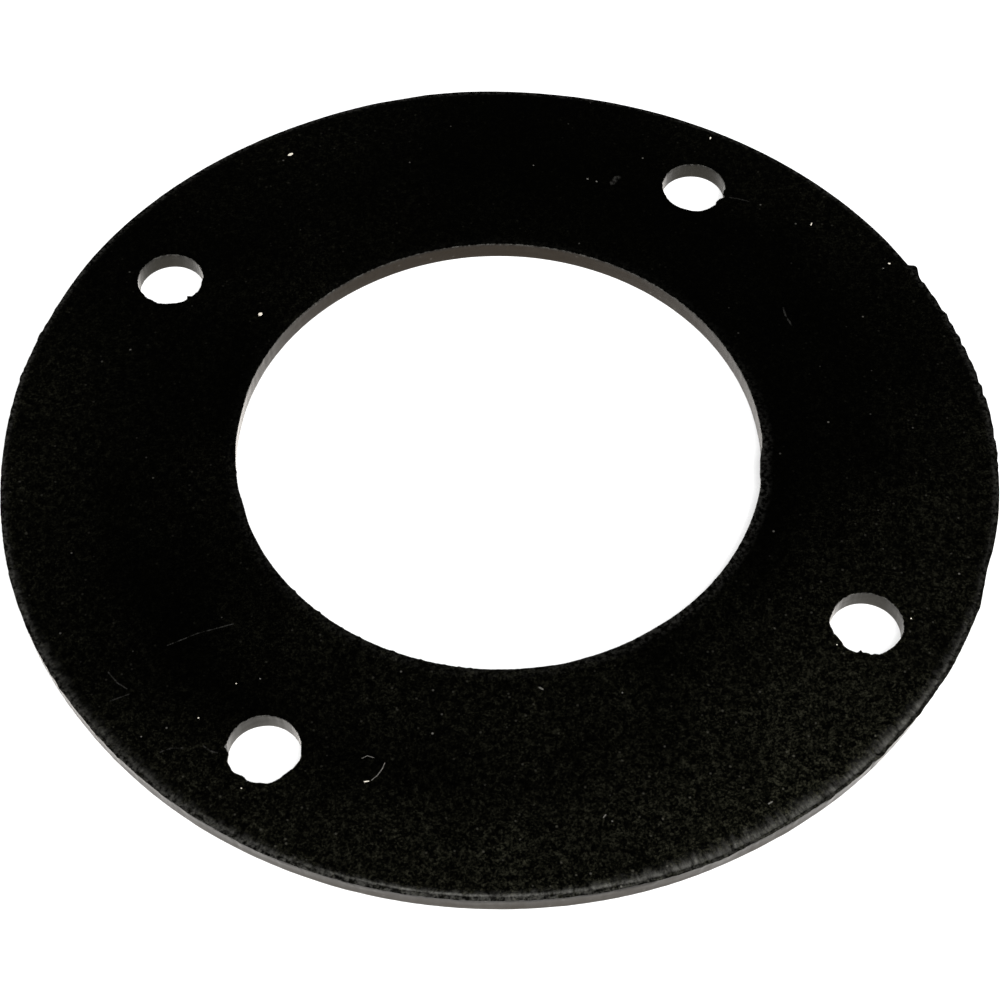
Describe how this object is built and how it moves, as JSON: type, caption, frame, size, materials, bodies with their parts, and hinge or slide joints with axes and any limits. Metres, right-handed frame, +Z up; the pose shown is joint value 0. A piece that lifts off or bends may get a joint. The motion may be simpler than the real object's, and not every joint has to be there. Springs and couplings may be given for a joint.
{
  "type": "flange gasket",
  "caption": "Flat full-face rubber ring gasket with a wide central bore and bolt holes near its rim, its edge partly trimmed by hand.",
  "frame": {"origin": "on the bore's axis, in the bottom face that the gasket lies on", "axes": "+Z up along the bore axis, square to the sheet; the first bolt hole is 45 degrees anticlockwise from +X, and the hand-trimmed stretch of the rim is centred a little clockwise of +X"},
  "size_m": [0.1503, 0.15, 0.003],
  "materials": {
    "rubber": "matte black sheet rubber with greyer cut walls"
  },
  "bodies": {
    "root": {"flange_gasket": "rubber"}
  },
  "joints": []
}
